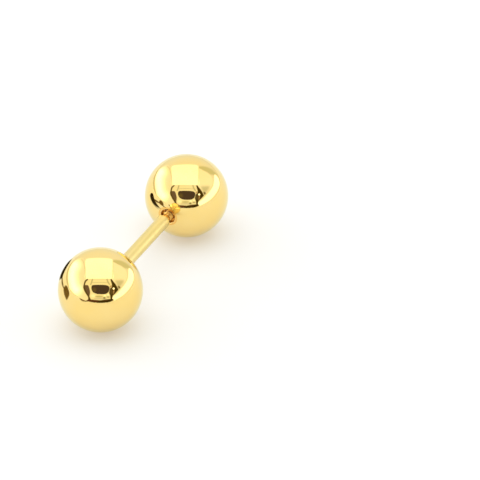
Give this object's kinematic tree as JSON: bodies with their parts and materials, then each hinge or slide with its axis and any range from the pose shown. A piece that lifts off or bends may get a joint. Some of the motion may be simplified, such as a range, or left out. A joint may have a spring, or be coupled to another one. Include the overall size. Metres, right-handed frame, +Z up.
{
  "type": "ball stud earring",
  "caption": "Straight post ear stud with a polished gold-coloured ball at each end; one ball is soldered on and the other unscrews from the post's thread.",
  "frame": {"origin": "on the surface that the stud lies on, midway between the two balls", "axes": "+Z up from the surface, +Y along the post from the soldered ball to the ball that unscrews, +X to the right as seen from the soldered ball"},
  "size_m": [0.005, 0.016, 0.0049],
  "materials": {
    "stud_gold": "gold-plated steel, polished to a mirror",
    "ball_gold": "gold-plated steel, polished to a mirror"
  },
  "bodies": {
    "stud": {"ball_stud": "stud_gold"},
    "screw_ball": {"screw_ball": "ball_gold"}
  },
  "joints": [
    {"name": "ball_unscrew", "type": "slide", "parent": "stud", "child": "screw_ball", "axis": [0, 1, 0], "range_m": [-0.0008, 0.003]}
  ]
}
